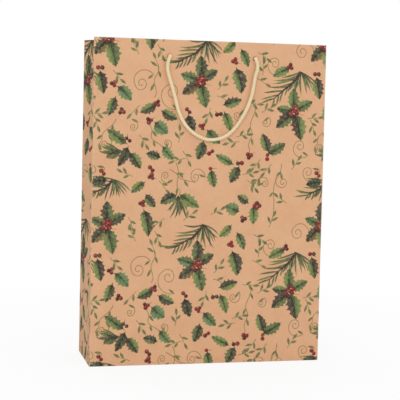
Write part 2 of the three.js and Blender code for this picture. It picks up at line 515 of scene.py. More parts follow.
def pine(apex, via, end, fan, scale):
    apex, via, end = (np.array(p, float) for p in (apex, via, end))
    stem = [apex, (apex + via) / 2 + (0.4, -0.4), via, (via + end) / 2 + (0.5, 0.8), end]
    heading = math.degrees(math.atan2(*(end - apex)[::-1]))
    for step in range(9):
        share = step / 8
        root = apex + (via - apex) * min(1, share * 2) + (end - via) * max(0, share * 2 - 1)
        for swing, low, high in ((-36, 20, 31), (24, 11, 18)):
            angle = heading + swing + printRandom.uniform(-12, 12)
            size = printRandom.uniform(low, high) * scale * (1.0 - 0.35 * share)
            needle(root, angle, size, needleInk())
    if fan:
        for step in range(10):
            angle = 252 + step * 8 + printRandom.uniform(-4, 4)
            size = printRandom.uniform(18, 29) * scale
            needle(apex, angle, size, needleInk(), 1.8)
    ribbon(stem, 3.4 * scale, 1.2, inks["bark"], 0.95)


def fanOut(x, z, low, high, count, length):
    for step in range(count):
        angle = low + (high - low) * step / (count - 1) + printRandom.uniform(-5, 5)
        size = length * printRandom.uniform(0.7, 1.0)
        needle((x, z), angle, size, needleInk(), 2.4)


def leaflet(x, z, angle, length, width):
    way = toward(math.radians(angle)) * length
    side = leftOf(way) * width / 2 / length
    start = np.array((x, z), float)
    outline = [
        start, start + way * 0.3 - side * 0.85, start + way * 0.6 - side,
        start + way, start + way * 0.6 + side, start + way * 0.3 + side * 0.85,
    ]
    color = inks["leaflets"][printRandom.integers(3)]
    paint(outline, withCover(color, 0.92), withCover(inks["leafletTip"], 0.92), start, start + way)


def sprig(x, z):
    heading = printRandom.uniform(0, 360)
    way = toward(math.radians(heading))
    start = np.array((x, z), float) - way * 6
    end = start + way * 11
    ribbon([start, (start + end) / 2 + (0.5, 0.3), end], 0.8, 0.6, inks["sprigStem"], 0.85)
    leaflet(end[0], end[1], heading + printRandom.uniform(-12, 12), 8.5, 3.0)
    for share, swing in ((0.35, 42), (0.6, -40))[: 2 if printRandom.random() < 0.75 else 1]:
        root = start + (end - start) * share
        leaflet(root[0], root[1], heading + swing, printRandom.uniform(7.0, 9.5), 2.9)


def curl(x, z, radius):
    first = printRandom.uniform(0, math.tau)
    spin = 1 if printRandom.random() < 0.5 else -1
    points = []
    count = int(22 + 3 * radius)
    for i in range(count + 1):
        share = i / count * 1.3 - 0.3
        angle = first + spin * share * math.tau * 1.4
        size = radius * (1.0 - 0.82 * share if share > 0 else 1.0 - 4.0 * share)
        points.append((x + size * math.cos(angle), z + size * 1.1 * math.sin(angle)))
    ribbon(points, 0.85, 0.85, inks["vine"], 0.85)
    leaflet(*points[0], math.degrees(first) + printRandom.uniform(-50, 50), 8.0, 2.6)


def vine(*points):
    points = [np.array(p, float) for p in points]
    points = [2 * points[0] - points[1], *points, 2 * points[-1] - points[-2]]
    line = []
    for a, b, c, d in zip(points, points[1:], points[2:], points[3:]):
        for t in np.linspace(0, 1, 6)[:-1]:
            wobble = 1.6 * math.sin(0.9 * len(line))
            line.append(
                0.5 * (2 * b + (c - a) * t + (2 * a - 5 * b + 4 * c - d) * t * t
                       + (3 * b - a - 3 * c + d) * t ** 3) + (wobble, 0.0)
            )
    ribbon([*line, points[-2]], 0.9, 0.85, inks["vine"], 0.85)
    for i in range(2, len(line) - 1, 4):
        heading = math.degrees(math.atan2(*(line[i + 1] - line[i])[::-1]))
        leaflet(*line[i], heading + (42 if i % 8 == 2 else -42), printRandom.uniform(7.5, 9.5), 2.8)


printLayout = {
    "period": (233.0, 193.0),
    "spanX": (-160.0, 160.0),
    "spanZ": (100.0, 380.0),
    "vines": [
        ((47, 277), (44, 255), (43, 240), (42, 224)),
        ((-101, 257), (-112, 243), (-118, 232), (-115, 225)),
        ((-66, 252), (-62, 238), (-52, 228)),
        ((-37, 213), (-34, 190), (-33, 180)),
        ((78, 213), (72, 190), (68, 150)),
        ((-58, 314), (-60, 298), (-61, 280)),
        ((-44, 206), (-30, 196), (-16, 192)),
    ],
    "curls": [
        (-75, 294, 7), (-83, 249, 3.5), (-48, 199, 4), (-16, 198, 5), (-47, 233, 3),
        (98, 332, 7), (68, 319, 5.5), (59, 256, 3.2), (28, 263, 4), (98, 232, 6), (-112, 231, 4),
        (108, 204, 6), (80, 193, 5), (60, 192, 4), (-43, 286, 8),
    ],
    "sprigs": [
        (-81, 329), (-56, 329), (-101, 302), (-59, 314), (-81, 267), (-73, 236),
        (-34, 240), (-88, 200), (-51, 189), (-33, 216), (-27, 220), (54, 327), (55, 312), (53, 300),
        (44, 276), (60, 270), (-3, 265), (33, 242), (25, 235), (112, 262), (111, 255), (51, 213),
        (63, 208), (41, 202), (52, 196), (45, 191), (93, 212), (11, 281), (10, 294), (-84, 150),
        (-53, 151), (-23, 156), (7, 161), (68, 151), (80, 174),
    ],
    "leaves": [
        ((-118, 305), (-114, 282), 12, "light", "purple"),
        ((-99, 290), (-85, 276), 12, "blue", "blue"),
        ((-102, 279), (-109, 260), 10, "light", "dark"),
        ((-59, 272), (-76, 264), 10, "light", "dark"),
        ((-53, 266), (-36, 258), 10, "light", "dark"), ((-60, 254), (-46, 243), 14, "blue", "blue"),
        ((-90, 232), (-110, 246), 11, "mid", "light"), ((-88, 228), (-98, 208), 10, "dark", "dark"),
        ((-86, 222), (-74, 206), 11, "dark", "light"), ((-54, 218), (-69, 222), 9, "dark", "mid"),
        ((-51, 229), (-39, 216), 10, "blue", "light"), ((-70, 192), (-84, 181), 9, "yellow", "mid"),
        ((-110, 195), (-127, 191), 10, "dark", "dark"),
        ((24, 340), (11, 328), 9, "yellow", "light"),
        ((31, 332), (39, 314), 9, "light", "mid"), ((26, 312), (32, 286), 14, "light", "dark"),
        ((13, 274), (33, 280), 10, "dark", "light"), ((14, 266), (21, 246), 10, "light", "light"),
        ((-4, 247), (10, 233), 11, "blue", "mid"), ((-25, 262), (-19, 243), 11, "dark", "dark"),
        ((-8, 235), (-14, 216), 11, "mid", "dark"), ((63, 226), (56, 245), 11, "light", "purple"),
        ((63, 224), (82, 235), 11, "mid", "mid"), ((84, 314), (66, 305), 10, "light", "light"),
        ((24, 212), (5, 222), 9, "light", "light"), ((31, 209), (22, 192), 11, "mid", "dark"),
        ((1, 205), (5, 187), 10, "light", "mid"), ((42, 171), (30, 179), 9, "light", "dark"),
        ((48, 167), (48, 148), 10, "light", "light"), ((32, 162), (17, 168), 13, "blue", "light"),
        ((-68, 179), (-58, 166), 9, "mid", "dark"), ((-70, 163), (-65, 135), 12, "light", "dark"),
        ((-36, 179), (-53, 170), 11, "dark", "mid"), ((-32, 179), (-11, 166), 12, "light", "light"),
    ],
    "pines": [
        ((-6, 341), (-18, 327), (-36, 317), True, 1.0),
        ((97, 311), (88, 299), (68, 282), True, 1.05),
        ((-103, 195), (-111, 186), (-124, 180), True, 0.9),
        ((-94, 224), (-99, 223), (-106, 221), False, 0.7),
    ],
    "fans": [(-34, 178, 236, 304, 9, 26)],
    "clusters": [
        (-118, 309, 2), (-104, 293, 3), (-95, 265, 3), (-58, 274, 3), (-66, 256, 3), (-88, 236, 2),
        (-63, 206, 2), (-63, 198, 3), (-114, 202, 2), (24, 320, 3), (8, 264, 2), (62, 220, 2),
        (42, 221, 3), (85, 316, 3), (32, 213, 2), (0, 224, 2), (0, 207, 1), (52, 168, 4),
        (37, 154, 3), (-72, 170, 3), (-25, 267, 2), (-10, 251, 3),
    ],
    "rosettes": [
        (-12, 298, [
            (-13, 325, "mid", "dark"), (6, 310, "mid", "dark"), (-34, 305, "mid", "blue"),
            (-32, 284, "dark", "brown"), (-6, 270, "light", "mid"),
        ]),
        (91, 269, [
            (90, 294, "light", "mid"), (111, 280, "light", "mid"), (71, 272, "light", "dark"),
            (71, 251, "purple", "mid"), (99, 238, "purple", "light"),
        ]),
        (-109, 147, [
            (-109, 173, "dark", "mid"), (-89, 159, "mid", "dark"), (-127, 155, "mid", "mid"),
            (-125, 129, "dark", "brown"), (-102, 117, "light", "mid"),
        ]),
    ],
}
drawings = {
    "vines": vine, "curls": curl, "sprigs": sprig, "pines": pine,
    "fans": fanOut, "leaves": hollyLeaf, "rosettes": rosette, "clusters": berries,
}
for kind, draw in drawings.items():
    for spec in printLayout[kind]:
        draw(*spec)
print("stage: print drawn,", len(shapes), "shapes in one repeat")


# The shapes that fall on a sheet, with the repeat laid side by side and one above the other.
def printOver(low, high):
    found, repeats = [], []
    for axis, span in enumerate(("spanX", "spanZ")):
        (start, end), period = printLayout[span], printLayout["period"][axis]
        first, last = (low[axis] - end) / period, (high[axis] - start) / period
        repeats.append([i * period for i in range(math.floor(first), math.ceil(last) + 1)])
    for stepX in repeats[0]:
        for stepZ in repeats[1]:
            step = np.array((stepX, stepZ))
            for points, near, far, origin, reach in shapes:
                moved = points + step
                if (moved.max(0) > low).all() and (moved.min(0) < high).all():
                    found.append((moved, near, far, origin + step, reach))
    return found


# Paper sheets.


def addObject(name, data):
    obj = bpy.data.objects.new(name, data)
    bpy.context.scene.collection.objects.link(obj)
    return obj


def addMesh(name, places, faces):
    mesh = bpy.data.meshes.new(name)
    mesh.from_pydata(places, [], faces)
    mesh.update()
    return addObject(name, mesh), mesh


def makeActive(obj):
    bpy.ops.object.select_all(action="DESELECT")
    obj.select_set(True)
    bpy.context.view_layer.objects.active = obj


def applyModifier(obj, kind, name, **settings):
    makeActive(obj)
    modifier = obj.modifiers.new(name, kind)
    for key, value in settings.items():
        setattr(modifier, key, value)
    bpy.ops.object.modifier_apply(modifier=name)


# The fold width sets how far from a fold the wear and the painted highlight reach.
sheetMesh = {"join": 1e-4, "holeSides": 20, "foldWearAndHighlightWidth": 0.9, "smoothAngle": 38.0}
# One map for the whole piece: the outside left, the inside squeezed right, the cut edges between.
bakeMap = {"outside": 0.70, "edge": (0.705, 0.72), "insideStart": 0.725, "inside": 0.275}


def stepsAlong(a, b, step):
    count = max(1, math.ceil(math.dist(a, b) / step))
    return [tuple(p + (q - p) * i / count for p, q in zip(a, b)) for i in range(count + 1)]


# Lays each shape's ink over those below it. The result is color and cover at each corner.
def layInk(corner, art, layers):
    ink = np.zeros((len(corner), 4))
    near, far, origin, reach = (np.array([shape[i] for shape in art]) for i in (1, 2, 3, 4))
    for depth in range(max(len(owners) for owners in layers)):
        owner = [owners[depth] - 1 if len(owners) > depth else -1 for owners in layers]
        pick = np.repeat(owner, 3)
        shown = pick >= 0
        pick = pick[shown]
        share = np.clip(((corner[shown] - origin[pick]) * reach[pick]).sum(1), 0, 1)[:, None]
        top, under = near[pick] + (far[pick] - near[pick]) * share, ink[shown]
        below = under[:, 3:] * (1 - top[:, 3:])
        cover = top[:, 3:] + below
        mixed = top[:, :3] * top[:, 3:] + under[:, :3] * below
        ink[shown] = np.concatenate((mixed / cover, cover), 1)
    return ink


# A sheet of the printed paper: the outline is drawn on the flat print, and place puts a flat
# point on the bag's outside.
def printedSheet(name, outline, place, lines, folds, holes=(), grid=8.0):
    if signedArea(outline) < 0:
        outline = outline[::-1]
    low, high = np.min(outline, 0), np.max(outline, 0)
    art = printOver(low, high)
    spots, edges, faces = [], [], []

    def addFace(points):
        start = len(spots)
        spots.extend((float(x), float(y)) for x, y in points)
        faces.append(list(range(start, len(spots))))

    # The outline is face 0, each printed shape is a face of its own, and the holes come last.
    sidesOf = zip(outline, outline[1:] + outline[:1])
    addFace([point for a, b in sidesOf for point in stepsAlong(a, b, grid)[:-1]])
    for points, *_ in art:
        addFace(points)
    holeFrom = len(faces)
    turns = [i * math.tau / sheetMesh["holeSides"] for i in range(sheetMesh["holeSides"])]
    for x, y, radius in holes:
        addFace([(x + radius * math.cos(turn), y + radius * math.sin(turn)) for turn in turns])
    for a, b in lines:
        start = len(spots)
        spots.extend(stepsAlong(a, b, grid))
        edges.extend((i, i + 1) for i in range(start, len(spots) - 1))
    wide, tall = high - low
    columns, rows = int(wide / grid) + 1, int(tall / grid) + 1
    for i in range(1, columns):
        for j in range(1, rows):
            shift = 0.5 if j % 2 else 0.0
            x, y = low[0] + (i - shift) * wide / columns, low[1] + j * tall / rows
            spots.append((x + 0.013, y + 0.017))  # off the straight lines of the outline
    flat, _, triangles, _, _, source = geometry.delaunay_2d_cdt(
        [Vector(p) for p in spots], edges, faces, 0, sheetMesh["join"], True
    )
    flat = np.array([tuple(p) for p in flat])
    paper = [0 in owners and max(owners) < holeFrom for owners in source]
    layers = [sorted(owners)[1:] for owners, keep in zip(source, paper) if keep]
    kept = np.array([triangle for triangle, keep in zip(triangles, paper) if keep])
    used, kept = np.unique(kept, return_inverse=True)
    flat, kept = flat[used], kept.reshape(-1, 3)
    a, b, c = (flat[kept[:, i]] for i in range(3))
    turned = (b - a)[:, 0] * (c - a)[:, 1] - (b - a)[:, 1] * (c - a)[:, 0] < 0
    kept[turned] = kept[turned][:, ::-1]
    places = np.array([tuple(place(x, y)) for x, y in flat]) * mm
    obj, mesh = addMesh(name, places.tolist(), kept.tolist())
    loops = kept.reshape(-1)
    corner = flat[loops]
    mesh.uv_layers.new(name="flat").data.foreach_set("uv", (corner / 100).reshape(-1))
    ink = mesh.attributes.new("ink", "FLOAT_COLOR", "CORNER")
    ink.data.foreach_set("color", layInk(corner, art, layers).reshape(-1))
    # Closeness to a fold: it drives both the fold wear and the painted highlight along the fold
    # edges.
    nearest = np.array([min(fold(x, y) for fold in folds) for x, y in flat])
    wornAndHighlit = np.exp(-((nearest / sheetMesh["foldWearAndHighlightWidth"]) ** 2))
    mesh.attributes.new("foldWearAndHighlight", "FLOAT", "CORNER").data.foreach_set("value", wornAndHighlit[loops])
    mesh.materials.append(printedFinish)
    mesh.materials.append(insideFinish)
    applyModifier(
        obj, "SOLIDIFY", "Thickness", thickness=bag["paper"] * mm, offset=-1.0,
        use_even_offset=False, material_offset=1, material_offset_rim=1,
    )
    makeActive(obj)
    bpy.ops.object.shade_smooth_by_angle(angle=math.radians(sheetMesh["smoothAngle"]))
    layBakeMap(obj, low, high)
    print("stage:", name, len(obj.data.polygons), "faces")
    return obj


def layBakeMap(obj, low, high):
    mesh = obj.data
    flat = np.zeros(len(mesh.loops) * 2)
    mesh.uv_layers["flat"].data.foreach_get("uv", flat)
    flat = flat.reshape(-1, 2) * 100
    share = (flat - low) / (high - low)
    material = np.zeros(len(mesh.polygons), int)
    mesh.polygons.foreach_get("material_index", material)
    size = np.zeros(len(mesh.polygons), int)
    mesh.polygons.foreach_get("loop_total", size)
    inside = np.repeat(material == 1, size)  # the cut edges too, which are the four-sided faces
    result = share * (bakeMap["outside"], 1.0)
    result[inside] = share[inside] * (bakeMap["inside"], 1.0) + (bakeMap["insideStart"], 0.0)
    starts = np.concatenate(([0], np.cumsum(size)[:-1]))
    for start in starts[(material == 1) & (size == 4)]:
        result[start:start + 4, 0] = np.repeat(bakeMap["edge"], 2)
        result[start:start + 4, 1] = share[start:start + 4].sum(1) / 2
    layer = mesh.uv_layers.new(name="OFBake")
    layer.data.foreach_set("uv", result.reshape(-1))
    mesh.uv_layers.active = layer


# Height and depth under the outside of a sheet that is turned over at the top.
def overTop(s, radius):
    straight = height - radius
    if s <= straight:
        return s, 0.0
    arc = (s - straight) / radius
    if arc <= math.pi:
        return straight + radius * math.sin(arc), radius - radius * math.cos(arc)
    return straight - (s - straight - math.pi * radius), 2 * radius


wallSheet = {
    "bottomRound": 0.6,
    "hemEdge": 1.8,
    "glue": 0.1,
    "stepBelowCard": 2.2,
    "stepLength": 3.2,
    "wave": 0.32,
    "crease": 0.3,
    "creaseWide": 1.4,
}
roundOff = bag["cornerRound"]
wallTop = height + bag["hemHeight"] + (math.pi - 2) * bag["wallFold"]


def paperWave(x, v, phase):
    calm = smooth((halfWidth - abs(x)) / 30) * smooth(v / 30) * smooth((300 - v) / 50)
    swell = math.sin(x * 0.031 + phase) * math.sin(v * 0.021 + 1.3 * phase)
    swell += 0.5 * math.sin(x * 0.017 - v * 0.033 + 2.1 * phase)
    return wallSheet["wave"] * calm * swell


def wallPlace(turn, shift, phase, crease):
    low = wallSheet["bottomRound"]

    def place(flatX, s):
        x = flatX - shift
        edge = smooth((halfWidth - abs(x)) / 9)
        radius = bag["cornerFold"] + (bag["wallFold"] - bag["cornerFold"]) * edge
        if s < low:
            arc = (low - s) / low
            v, w = low - low * math.sin(arc), low - low * math.cos(arc)
        else:
            v, w = overTop(s, radius)
            if w == 0.0:
                w = paperWave(x, v, phase)
                if crease:
                    off = (v - halfDepth) / wallSheet["creaseWide"]
                    w -= wallSheet["crease"] * math.exp(-(off ** 2))
            elif s > height + radius:
                glued = bag["paper"] * 2 + wallSheet["glue"]
                cardEnd = height - bag["cardHeight"] - wallSheet["stepBelowCard"]
                w = lerp(w, glued, smooth((cardEnd - v) / wallSheet["stepLength"]))
        return wallPoint(turn, x, w, v)

    return place


def wallSheetFor(name, turn, shift, phase, crease):
    side = halfWidth - roundOff
    inner = halfWidth - wallSheet["hemEdge"]
    low = wallSheet["bottomRound"] * (1 - math.pi / 2)
    half = [(side, low), (side, height), (inner, height + 1.2), (inner, wallTop)]
    outline = [(shift + x, s) for x, s in half] + [(shift - x, s) for x, s in half[::-1]]
    fold = bag["wallFold"]
    heights = [low + 0.47, wallSheet["bottomRound"], 2.2, 4.0]
    heights += [height - fold - 2.4, height - fold - 0.8]
    heights += [height - fold + math.pi * fold * i / 8 for i in range(9)]
    heights += [height + math.pi * fold, wallTop - 8.0, wallTop - 6.5, wallTop - 5.0, wallTop - 3.4]
    if crease:
        heights += [halfDepth + step for step in (-3.2, -1.4, -0.6, 0.0, 0.6, 1.4, 3.2)]
    lines = [((shift - side, s), (shift + side, s)) for s in heights]
    for x in (1.2 - side, side - 1.2, 3.0 - side, side - 3.0):
        lines.append(((shift + x, low), (shift + x, height)))
    folds = [
        lambda x, y: abs(abs(x - shift) - side),
        lambda x, y: abs(y - height - 0.4),
        lambda x, y: abs(y),
    ]
    if crease:
        folds.append(lambda x, y: abs(y - halfDepth) * 1.4)
    hemHole = 2 * (height - fold) + math.pi * fold - holeHeight
    holes = [
        (shift + way * bag["holeSpacing"] / 2, s, bag["holeDiameter"] / 2)
        for way in (-1, 1) for s in (holeHeight, hemHole)
    ]
    return printedSheet(name, outline, wallPlace(turn, shift, phase, crease), lines, folds, holes)


frontSheet = wallSheetFor("front_wall_paper", 1, 0.0, 0.4, False)
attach(frontSheet, "front_wall")
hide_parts("front_panel", "front_hem")
rearShift = -147.0
rearSheet = wallSheetFor("rear_wall_paper", -1, rearShift, 2.3, True)
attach(rearSheet, "rear_wall")
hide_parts("rear_panel", "rear_hem")

# A gusset half: the left front one, which the others mirror.
gussetSheet = {"foot": 0.3, "hemStart": 1.4, "fold": 0.5, "wave": 0.22, "creaseGap": 0.04}
gussetTop = height + bag["hemHeight"] + (math.pi - 2) * gussetSheet["fold"]


def cornerPoint(v):
    return Vector((-halfWidth, -halfDepth + v * sinLean, v * cosLean))


def creasePoint(v):
    return Vector((-halfWidth + v * math.sin(creaseLean), 0, v * math.cos(creaseLean)))


# Flat above the bottom's height, and below it folded along a diagonal to the bottom corner.
def gussetSurface(u, v):
    corner, crease = cornerPoint(v), creasePoint(v)
    if v >= halfDepth:
        return lerp(corner, crease, u / halfDepth)
    diagonal = lerp(cornerPoint(0), creasePoint(halfDepth), v / halfDepth)
    if u <= v:
        return lerp(corner, diagonal, u / max(v, 1e-6))
    return lerp(diagonal, crease, (u - v) / (halfDepth - v))


def gussetPoint(u, s, phase):
    v, w = overTop(s, gussetSheet["fold"])
    if u < roundOff:
        share = (u + roundOff) / (2 * roundOff)
        corner = cornerPoint(v)
        start = corner + Vector((roundOff, 0, 0))
        end = gussetSurface(roundOff, v)
        point = start * (1 - share) ** 2 + corner * 2 * share * (1 - share) + end * share ** 2
    else:
        point = gussetSurface(u, v)
    if w > 0.0:
        near, far = gussetSurface(2.0, v), gussetSurface(38.0, v)
        inward = (gussetSurface(2.0, v - 20) - near).cross(far - near).normalized()
        inward = inward if inward.x > 0 else -inward
        point += inward * w
    else:
        calm = smooth(u / 8) * smooth((halfDepth - u) / 8)
        calm *= smooth((v - 50) / 30) * smooth((310 - v) / 30)
        point.x += gussetSheet["wave"] * calm * math.sin(v * 0.027 + phase) * math.sin(u * 0.09)
    return point


def gussetSheetFor(name, side, turn, shift, way, phase):
    fold = gussetSheet["fold"]
    mouthHalf, sunk = halfDepth - bag["mouthNarrowing"] / 2, height * math.sin(creaseLean)
    extra = 1.2 * fold * sunk / mouthHalf  # the turned hem reaches round to the crease
    middle = halfDepth - gussetSheet["creaseGap"]
    outline = [
        (-roundOff, gussetSheet["foot"]), (middle, gussetSheet["foot"]), (middle, height - fold),
        (middle + extra / 2, height + 0.6), (middle + extra, height + 1.1),
        (middle + extra, gussetTop), (gussetSheet["hemStart"], gussetTop),
        (gussetSheet["hemStart"], height + 0.4), (-roundOff, height - 0.1),
    ]
    rows = [2.0, halfDepth, height - fold - 2.4, height - fold - 0.8]
    rows += [height - fold + math.pi * fold * i / 6 for i in range(7)]
    lines = [((-roundOff, s), (halfDepth + extra, s)) for s in rows]
    for step in (0.0, roundOff, roundOff + 1.2, halfDepth - 0.7, halfDepth - 2.0):
        lines.append(((step, gussetSheet["foot"]), (step, height)))
    for step in (-0.9, 0.0, 0.9):
        right, up = max(0.0, step), max(0.0, -step)
        lines.append(((right, up), (halfDepth - up, halfDepth - right)))
    lines = [tuple((shift + way * x, y) for x, y in line) for line in lines]
    folds = [
        lambda x, y: abs(x - shift),
        lambda x, y: abs(abs(x - shift) - halfDepth) * 0.9,
        lambda x, y: abs(y - height - 0.3),
        lambda x, y: abs(abs(x - shift) - y) * 0.7 if y < halfDepth else 9.0,
    ]

    def place(x, s):
        point = gussetPoint((x - shift) * way, s, phase)
        return Vector((-side * point.x, turn * point.y, point.z))

    return printedSheet(name, [(shift + way * x, y) for x, y in outline], place, lines, folds)


sides = {-1: "left", 1: "right"}
ends = {1: "front", -1: "rear"}
# Where each half lies on the print, and which way it runs there.
gussetShifts = {
    (-1, 1): (58.0, -1), (-1, -1): (-22.0, 1), (1, 1): (125.0, 1), (1, -1): (205.0, -1),
}
for (side, turn), (shift, way) in gussetShifts.items():
    sideName, endName = sides[side], ends[turn]
    half = gussetSheetFor(
        f"{sideName}_{endName}_gusset_paper", side, turn, shift, way, 1.0 + side + 2 * turn
    )
    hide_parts(f"{sideName}_gusset_{endName}", f"{sideName}_{endName}_gusset_hem")
    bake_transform(half)

# Bottom flaps: the printed front one lies lowest, over the rear one.
bottom = {
    "frontDepth": 62.0,
    "rearDepth": 56.0,
    "foot": 1.3,
    "inset": 1.2,
    "cut": 2.5,
    "gap": 0.7,
    "wave": 0.06,
}


def bottomFlap(name, turn, depth, z, shift):
    start, end = halfDepth - bottom["foot"], halfDepth - depth
    side = halfWidth - bottom["inset"]
    inner = side - bottom["cut"]
    outline = [
        (shift - side, start), (shift - inner, end), (shift + inner, end), (shift + side, start),
    ]

    def place(x, y):
        lift = bottom["wave"] * abs(math.sin(x * 0.03) * math.sin(y * 0.05))
        return Vector((turn * (x - shift), turn * -y, z + lift))

    lines = [((shift - side, start - 3), (shift + side, start - 3))]
    return printedSheet(name, outline, place, lines, [lambda x, y: abs(y - start)], grid=12.0)


frontFlap = bottomFlap("front_bottom_flap_paper", 1, bottom["frontDepth"], 0.0, 0.0)
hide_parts("front_bottom_flap")
rearFlap = bottomFlap("rear_bottom_flap_paper", -1, bottom["rearDepth"], bottom["gap"], rearShift)
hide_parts("rear_bottom_flap")
for flap in (frontFlap, rearFlap):
    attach(flap, "base")


# Inside pieces.


def flatMapFrom(obj, first, second):
    layer = obj.data.uv_layers.get("flat") or obj.data.uv_layers.new(name="flat")
    for loop in obj.data.loops:
        point = obj.data.vertices[loop.vertex_index].co
        layer.data[loop.index].uv = (point[first] * 10, point[second] * 10)


tuck = {"depth": 44.0, "taper": 16.0, "z": 1.4, "thickness": 0.35, "wave": 0.06}
for side in (-1, 1):
    low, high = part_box(f"{sides[side]}_bottom_tuck")
    bpy.ops.object.select_all(action="DESELECT")
    middle = (low + high) / 2
    bpy.ops.mesh.primitive_grid_add(x_subdivisions=8, y_subdivisions=10, size=1, location=middle)
    piece = bpy.context.object
    piece.name = f"{sides[side]}_bottom_tuck_paper"
    bpy.ops.transform.resize(value=(high.x - low.x, high.y - low.y, 1))
    bpy.ops.object.transform_apply(location=True, rotation=True, scale=True)
    for vertex in piece.data.vertices:
        inner = (halfWidth * mm - abs(vertex.co.x)) / (tuck["depth"] * mm)
        vertex.co.y *= 1 - max(0.0, inner) * 2 * tuck["taper"] / bag["depth"]
        wave = tuck["wave"] * math.sin(vertex.co.x * 90) * math.sin(vertex.co.y * 70)
        vertex.co.z = (tuck["z"] + wave) * mm
    applyModifier(piece, "SOLIDIFY", "Thickness", thickness=tuck["thickness"] * mm, offset=1.0)
    flatMapFrom(piece, 0, 1)
    piece.data.materials.append(insideFinish)
    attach(piece, "base")
    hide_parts(f"{sides[side]}_bottom_tuck")

seamTab = {"depth": 0.62, "wave": 0.12, "thickness": 0.3}
low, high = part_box("side_seam_tab")
bpy.ops.object.select_all(action="DESELECT")
bpy.ops.mesh.primitive_grid_add(x_subdivisions=4, y_subdivisions=40, size=1)
seam = bpy.context.object
seam.name = "side_seam_tab_paper"
for vertex in seam.data.vertices:
    across, up = vertex.co.x + 0.5, vertex.co.y + 0.5
    v = (low.z + (high.z - low.z) * up) / mm
    w = seamTab["depth"] + seamTab["wave"] * math.sin(v * 0.05) * (1 - across)
    vertex.co = wallPoint(-1, -lerp(low.x, high.x, across) / mm, w, v) * mm
applyModifier(seam, "SOLIDIFY", "Thickness", thickness=seamTab["thickness"] * mm, offset=0.0)
flatMapFrom(seam, 0, 2)
seam.data.materials.append(insideFinish)
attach(seam, "rear_wall")
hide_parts("side_seam_tab")

baseCard = {"bevel": 0.28, "segments": 2}
low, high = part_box("base_card")
bpy.ops.object.select_all(action="DESELECT")
bpy.ops.mesh.primitive_cube_add(size=1, location=(low + high) / 2)
card = bpy.context.object
card.name = "base_card_board"
bpy.ops.transform.resize(value=tuple(high - low))
bpy.ops.object.transform_apply(location=True, rotation=True, scale=True)
bpy.ops.object.mode_set(mode="EDIT")
bpy.ops.mesh.select_all(action="SELECT")
bpy.ops.mesh.bevel(offset=baseCard["bevel"] * mm, segments=baseCard["segments"], affect="EDGES")
bpy.ops.object.mode_set(mode="OBJECT")
bpy.ops.object.shade_smooth_by_angle(angle=math.radians(35))
card.data.materials.append(boardFinish)
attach(card, "base")
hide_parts("base_card")
for name in ("front_hem_card", "rear_hem_card"):
    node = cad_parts[name]
    node.data.materials.clear()
    node.data.materials.append(boardFinish)
print("stage: inside pieces")

# Handles.

cord = {
    "diameter": 4.0,
    "thick": 3.8,
    "standOff": 2.5,
    "drop": 86.0,
    "pitch": 6.6,
    "groove": 0.17,
    "sides": 24,
    "step": 0.55,
    "strand": 3.6,
    "knotSize": 1.16,
    "knotDepth": 6.1,
    "roundEnd": [(0.28, 0.96), (0.55, 0.84), (0.8, 0.6), (0.95, 0.3)],
    "frayedEnd": [(0.5, 1.1), (1.0, 1.22), (1.15, 1.1)],
}
# The hanging route: across as a share of half the hole spacing, down as a share of the drop.
handleRoute = [
    (-1.0, 0.0), (-1.045, 0.08), (-1.05, 0.16), (-1.01, 0.25), (-0.935, 0.37), (-0.855, 0.52),
    (-0.775, 0.665), (-0.665, 0.785), (-0.505, 0.885), (-0.305, 0.955), (-0.09, 0.995),
    (0.12, 0.99), (0.31, 0.955), (0.48, 0.885), (0.62, 0.795), (0.74, 0.69), (0.845, 0.575),
    (0.92, 0.455), (0.965, 0.335), (1.0, 0.215), (1.045, 0.13), (1.04, 0.06), (1.0, 0.0),
]


# A smooth curve through points, without overshoot where they lie close.
def curveThrough(points, fine=12):
    points = [Vector(p) for p in points]
    points = [points[0] * 2 - points[1], *points, points[-1] * 2 - points[-2]]
    line = []
    for a, b, c, d in zip(points, points[1:], points[2:], points[3:]):
        knots = [0.0]
        for p, q in ((a, b), (b, c), (c, d)):
            knots.append(knots[-1] + max(1e-6, (q - p).length) ** 0.5)
        k0, k1, k2, k3 = knots
        for i in range(fine):
            t = k1 + (k2 - k1) * i / fine
            ab = lerp(a, b, (t - k0) / (k1 - k0))
            bc = lerp(b, c, (t - k1) / (k2 - k1))
            cd = lerp(c, d, (t - k2) / (k3 - k2))
            abc = lerp(ab, bc, (t - k0) / (k2 - k0))
            bcd = lerp(bc, cd, (t - k1) / (k3 - k1))
            line.append(lerp(abc, bcd, (t - k1) / (k2 - k1)))
    return [*line, points[-2]]


# The same line with points at an even step, and its length.
def evenly(line, step):
    lengths = [0.0]
    for a, b in zip(line, line[1:]):
        lengths.append(lengths[-1] + (b - a).length)
    count = max(2, round(lengths[-1] / step))
    result, at = [], 0
    for i in range(count + 1):
        goal = lengths[-1] * i / count
        while at < len(line) - 2 and lengths[at + 1] < goal:
            at += 1
        span = max(1e-9, lengths[at + 1] - lengths[at])
        result.append(line[at].lerp(line[at + 1], (goal - lengths[at]) / span))
    return result, lengths[-1]


